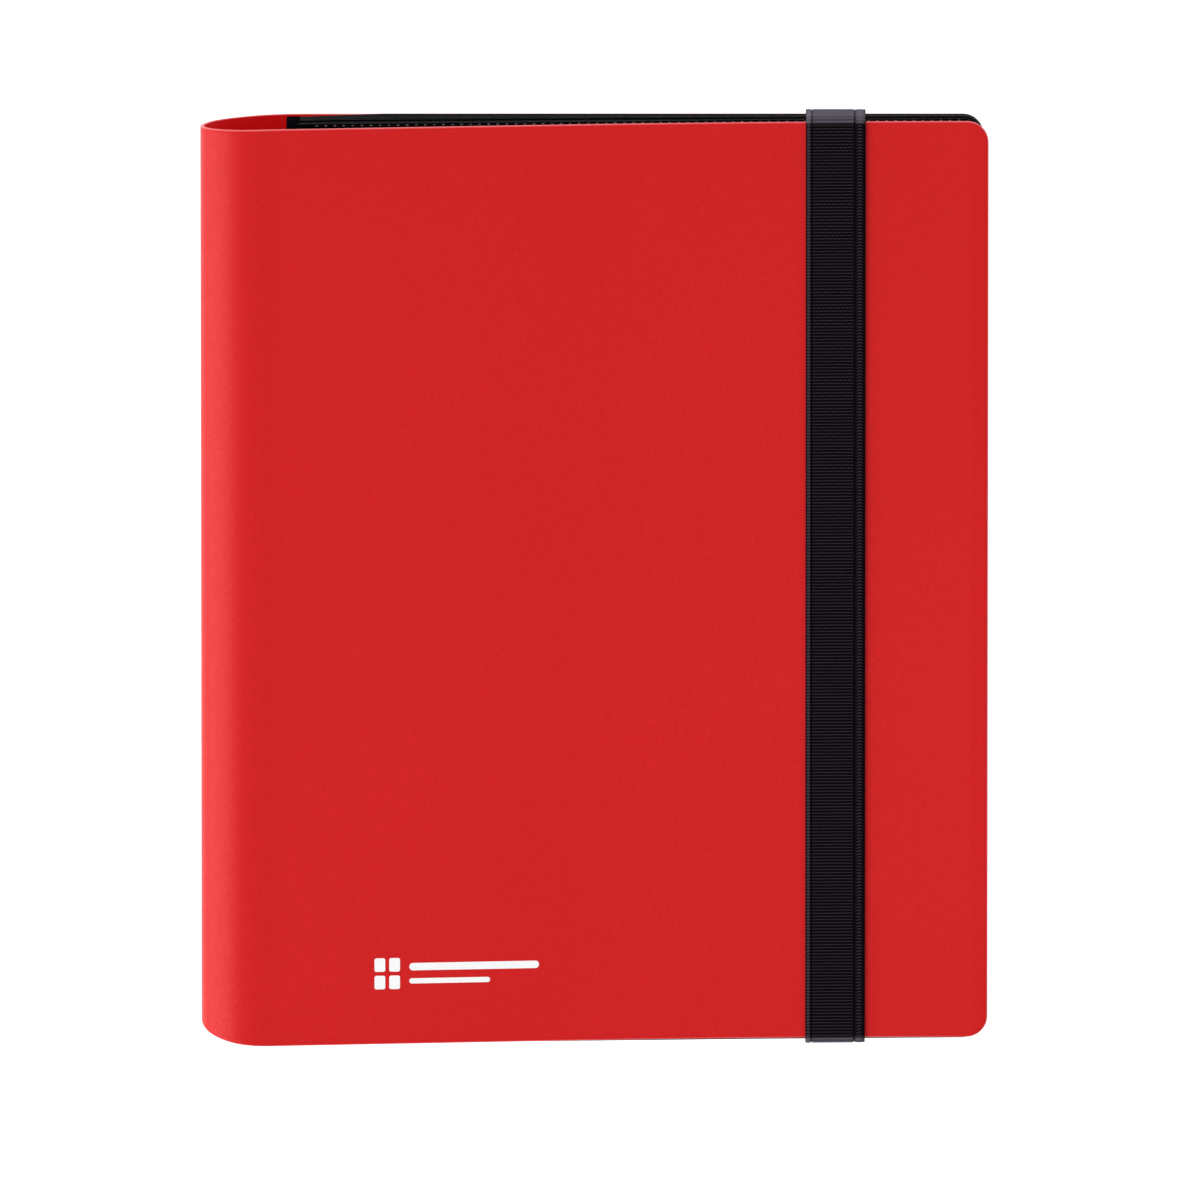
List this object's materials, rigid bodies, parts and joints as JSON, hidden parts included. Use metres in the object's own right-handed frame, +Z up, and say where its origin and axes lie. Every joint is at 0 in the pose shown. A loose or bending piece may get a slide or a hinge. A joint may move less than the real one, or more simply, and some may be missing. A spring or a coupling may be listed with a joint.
{
  "type": "trading card binder",
  "caption": "Slim side-opening card album with a one-piece wrap-around plastic cover, rounded spine, pocket leaves and an elastic closing strap.",
  "frame": {"origin": "centre of the closed binder's bounding box, on the plane that the back cover rests on", "axes": "+X from the spine to the fore-edge, +Y towards the top edge along the height, +Z up from the back cover to the front cover"},
  "size_m": [0.177, 0.2116, 0.0236],
  "materials": {
    "cover_red": "matte, fine grain",
    "leaf_black": "satin",
    "binding_black": "satin",
    "pocket_clear": "clear gloss film",
    "strap_black": "woven, ribbed",
    "clamp_red": "matte"
  },
  "bodies": {
    "root": {"back_cover": "cover_red", "binding_flange": "binding_black", "bound_edges": "leaf_black", "leaf_margins": "leaf_black", "binding_tape": "binding_black", "strap_tail_top": "strap_black", "strap_tail_bottom": "strap_black", "strap_clamp_top": "clamp_red", "strap_clamp_bottom": "clamp_red"},
    "spine_1": {"spine_strip_1": "cover_red"},
    "spine_2": {"spine_strip_2": "cover_red"},
    "spine_3": {"spine_strip_3": "cover_red"},
    "spine_4": {"spine_strip_4": "cover_red"},
    "spine_5": {"spine_strip_5": "cover_red"},
    "cover": {"front_cover": "cover_red"},
    "leaf_01": {"leaf_01_sheet": "leaf_black", "leaf_01_pockets": "pocket_clear"},
    "leaf_02": {"leaf_02_sheet": "leaf_black", "leaf_02_pockets": "pocket_clear"},
    "leaf_03": {"leaf_03_sheet": "leaf_black", "leaf_03_pockets": "pocket_clear"},
    "leaf_04": {"leaf_04_sheet": "leaf_black", "leaf_04_pockets": "pocket_clear"},
    "leaf_05": {"leaf_05_sheet": "leaf_black", "leaf_05_pockets": "pocket_clear"},
    "leaf_06": {"leaf_06_sheet": "leaf_black", "leaf_06_pockets": "pocket_clear"},
    "leaf_07": {"leaf_07_sheet": "leaf_black", "leaf_07_pockets": "pocket_clear"},
    "leaf_08": {"leaf_08_sheet": "leaf_black", "leaf_08_pockets": "pocket_clear"},
    "leaf_09": {"leaf_09_sheet": "leaf_black", "leaf_09_pockets": "pocket_clear"},
    "leaf_10": {"leaf_10_sheet": "leaf_black", "leaf_10_pockets": "pocket_clear"},
    "leaf_11": {"leaf_11_sheet": "leaf_black", "leaf_11_pockets": "pocket_clear"},
    "leaf_12": {"leaf_12_sheet": "leaf_black", "leaf_12_pockets": "pocket_clear"},
    "leaf_13": {"leaf_13_sheet": "leaf_black", "leaf_13_pockets": "pocket_clear"},
    "leaf_14": {"leaf_14_sheet": "leaf_black", "leaf_14_pockets": "pocket_clear"},
    "leaf_15": {"leaf_15_sheet": "leaf_black", "leaf_15_pockets": "pocket_clear"},
    "leaf_16": {"leaf_16_sheet": "leaf_black", "leaf_16_pockets": "pocket_clear"},
    "leaf_17": {"leaf_17_sheet": "leaf_black", "leaf_17_pockets": "pocket_clear"},
    "leaf_18": {"leaf_18_sheet": "leaf_black", "leaf_18_pockets": "pocket_clear"},
    "leaf_19": {"leaf_19_sheet": "leaf_black", "leaf_19_pockets": "pocket_clear"},
    "leaf_20": {"leaf_20_sheet": "leaf_black", "leaf_20_pockets": "pocket_clear"},
    "strap": {"strap_front_run": "strap_black", "strap_wrap_top": "strap_black", "strap_wrap_bottom": "strap_black"}
  },
  "joints": [
    {"name": "spine_fold_1", "type": "hinge", "parent": "root", "child": "spine_1", "pos_m": [-0.07262, 0, 0], "axis": [0, -1, 0], "range_deg": [0, 30.71]},
    {"name": "spine_fold_2", "type": "hinge", "parent": "spine_1", "child": "spine_2", "pos_m": [-0.08465, 0, 0.00715], "axis": [0, -1, 0], "range_deg": [0, 30.71]},
    {"name": "spine_fold_3", "type": "hinge", "parent": "spine_2", "child": "spine_3", "pos_m": [-0.08848, 0, 0.01417], "axis": [0, -1, 0], "range_deg": [0, 30.71]},
    {"name": "spine_fold_4", "type": "hinge", "parent": "spine_3", "child": "spine_4", "pos_m": [-0.08833, 0, 0.01817], "axis": [0, -1, 0], "range_deg": [0, 30.71]},
    {"name": "spine_fold_5", "type": "hinge", "parent": "spine_4", "child": "spine_5", "pos_m": [-0.08644, 0, 0.02111], "axis": [0, -1, 0], "range_deg": [0, 30.71]},
    {"name": "cover_open", "type": "hinge", "parent": "spine_5", "child": "cover", "pos_m": [-0.08151, 0, 0.02356], "axis": [0, -1, 0], "range_deg": [0, 30.71]},
    {"name": "leaf_01_turn", "type": "hinge", "parent": "root", "child": "leaf_01", "pos_m": [-0.04802, 0, 0.0022], "axis": [0, -1, 0], "range_deg": [0, 6.01]},
    {"name": "leaf_02_turn", "type": "hinge", "parent": "root", "child": "leaf_02", "pos_m": [-0.04892, 0, 0.00299], "axis": [0, -1, 0], "range_deg": [0, 12.8]},
    {"name": "leaf_03_turn", "type": "hinge", "parent": "root", "child": "leaf_03", "pos_m": [-0.04982, 0, 0.00378], "axis": [0, -1, 0], "range_deg": [0, 19.59]},
    {"name": "leaf_04_turn", "type": "hinge", "parent": "root", "child": "leaf_04", "pos_m": [-0.05072, 0, 0.00457], "axis": [0, -1, 0], "range_deg": [0, 26.38]},
    {"name": "leaf_05_turn", "type": "hinge", "parent": "root", "child": "leaf_05", "pos_m": [-0.05162, 0, 0.00536], "axis": [0, -1, 0], "range_deg": [0, 33.17]},
    {"name": "leaf_06_turn", "type": "hinge", "parent": "root", "child": "leaf_06", "pos_m": [-0.05252, 0, 0.00615], "axis": [0, -1, 0], "range_deg": [0, 39.96]},
    {"name": "leaf_07_turn", "type": "hinge", "parent": "root", "child": "leaf_07", "pos_m": [-0.05342, 0, 0.00694], "axis": [0, -1, 0], "range_deg": [0, 46.75]},
    {"name": "leaf_08_turn", "type": "hinge", "parent": "root", "child": "leaf_08", "pos_m": [-0.05432, 0, 0.00773], "axis": [0, -1, 0], "range_deg": [0, 53.54]},
    {"name": "leaf_09_turn", "type": "hinge", "parent": "root", "child": "leaf_09", "pos_m": [-0.05522, 0, 0.00852], "axis": [0, -1, 0], "range_deg": [0, 60.32]},
    {"name": "leaf_10_turn", "type": "hinge", "parent": "root", "child": "leaf_10", "pos_m": [-0.05612, 0, 0.00931], "axis": [0, -1, 0], "range_deg": [0, 67.11]},
    {"name": "leaf_11_turn", "type": "hinge", "parent": "root", "child": "leaf_11", "pos_m": [-0.05702, 0, 0.0101], "axis": [0, -1, 0], "range_deg": [0, 73.9]},
    {"name": "leaf_12_turn", "type": "hinge", "parent": "root", "child": "leaf_12", "pos_m": [-0.05792, 0, 0.01089], "axis": [0, -1, 0], "range_deg": [0, 80.69]},
    {"name": "leaf_13_turn", "type": "hinge", "parent": "root", "child": "leaf_13", "pos_m": [-0.05882, 0, 0.01168], "axis": [0, -1, 0], "range_deg": [0, 87.48]},
    {"name": "leaf_14_turn", "type": "hinge", "parent": "root", "child": "leaf_14", "pos_m": [-0.05972, 0, 0.01247], "axis": [0, -1, 0], "range_deg": [0, 94.27]},
    {"name": "leaf_15_turn", "type": "hinge", "parent": "root", "child": "leaf_15", "pos_m": [-0.06062, 0, 0.01326], "axis": [0, -1, 0], "range_deg": [0, 101.06]},
    {"name": "leaf_16_turn", "type": "hinge", "parent": "root", "child": "leaf_16", "pos_m": [-0.06152, 0, 0.01405], "axis": [0, -1, 0], "range_deg": [0, 107.85]},
    {"name": "leaf_17_turn", "type": "hinge", "parent": "root", "child": "leaf_17", "pos_m": [-0.06242, 0, 0.01484], "axis": [0, -1, 0], "range_deg": [0, 114.64]},
    {"name": "leaf_18_turn", "type": "hinge", "parent": "root", "child": "leaf_18", "pos_m": [-0.06332, 0, 0.01563], "axis": [0, -1, 0], "range_deg": [0, 121.43]},
    {"name": "leaf_19_turn", "type": "hinge", "parent": "root", "child": "leaf_19", "pos_m": [-0.06422, 0, 0.01642], "axis": [0, -1, 0], "range_deg": [0, 128.22]},
    {"name": "leaf_20_turn", "type": "hinge", "parent": "root", "child": "leaf_20", "pos_m": [-0.06512, 0, 0.01721], "axis": [0, -1, 0], "range_deg": [0, 135.01]},
    {"name": "strap_release", "type": "slide", "parent": "root", "child": "strap", "axis": [1, 0, 0], "range_m": [0, 0.0421], "deforming": ["strap_front_run", "strap_wrap_top", "strap_wrap_bottom"]}
  ],
  "couplings": [
    {"joint": "spine_fold_1", "follows": "cover_open", "ratio": 1},
    {"joint": "spine_fold_2", "follows": "cover_open", "ratio": 1},
    {"joint": "spine_fold_3", "follows": "cover_open", "ratio": 1},
    {"joint": "spine_fold_4", "follows": "cover_open", "ratio": 1},
    {"joint": "spine_fold_5", "follows": "cover_open", "ratio": 1},
    {"joint": "leaf_01_turn", "follows": "cover_open", "ratio": 0.1954},
    {"joint": "leaf_02_turn", "follows": "cover_open", "ratio": 0.4165},
    {"joint": "leaf_03_turn", "follows": "cover_open", "ratio": 0.6375},
    {"joint": "leaf_04_turn", "follows": "cover_open", "ratio": 0.8586},
    {"joint": "leaf_05_turn", "follows": "cover_open", "ratio": 1.0797},
    {"joint": "leaf_06_turn", "follows": "cover_open", "ratio": 1.3008},
    {"joint": "leaf_07_turn", "follows": "cover_open", "ratio": 1.5219},
    {"joint": "leaf_08_turn", "follows": "cover_open", "ratio": 1.743},
    {"joint": "leaf_09_turn", "follows": "cover_open", "ratio": 1.964},
    {"joint": "leaf_10_turn", "follows": "cover_open", "ratio": 2.1851},
    {"joint": "leaf_11_turn", "follows": "cover_open", "ratio": 2.4062},
    {"joint": "leaf_12_turn", "follows": "cover_open", "ratio": 2.6273},
    {"joint": "leaf_13_turn", "follows": "cover_open", "ratio": 2.8484},
    {"joint": "leaf_14_turn", "follows": "cover_open", "ratio": 3.0695},
    {"joint": "leaf_15_turn", "follows": "cover_open", "ratio": 3.2905},
    {"joint": "leaf_16_turn", "follows": "cover_open", "ratio": 3.5116},
    {"joint": "leaf_17_turn", "follows": "cover_open", "ratio": 3.7327},
    {"joint": "leaf_18_turn", "follows": "cover_open", "ratio": 3.9538},
    {"joint": "leaf_19_turn", "follows": "cover_open", "ratio": 4.1749},
    {"joint": "leaf_20_turn", "follows": "cover_open", "ratio": 4.396},
    {"joint": "strap_release", "follows": "cover_open", "m_per_rad": 0.078362}
  ]
}
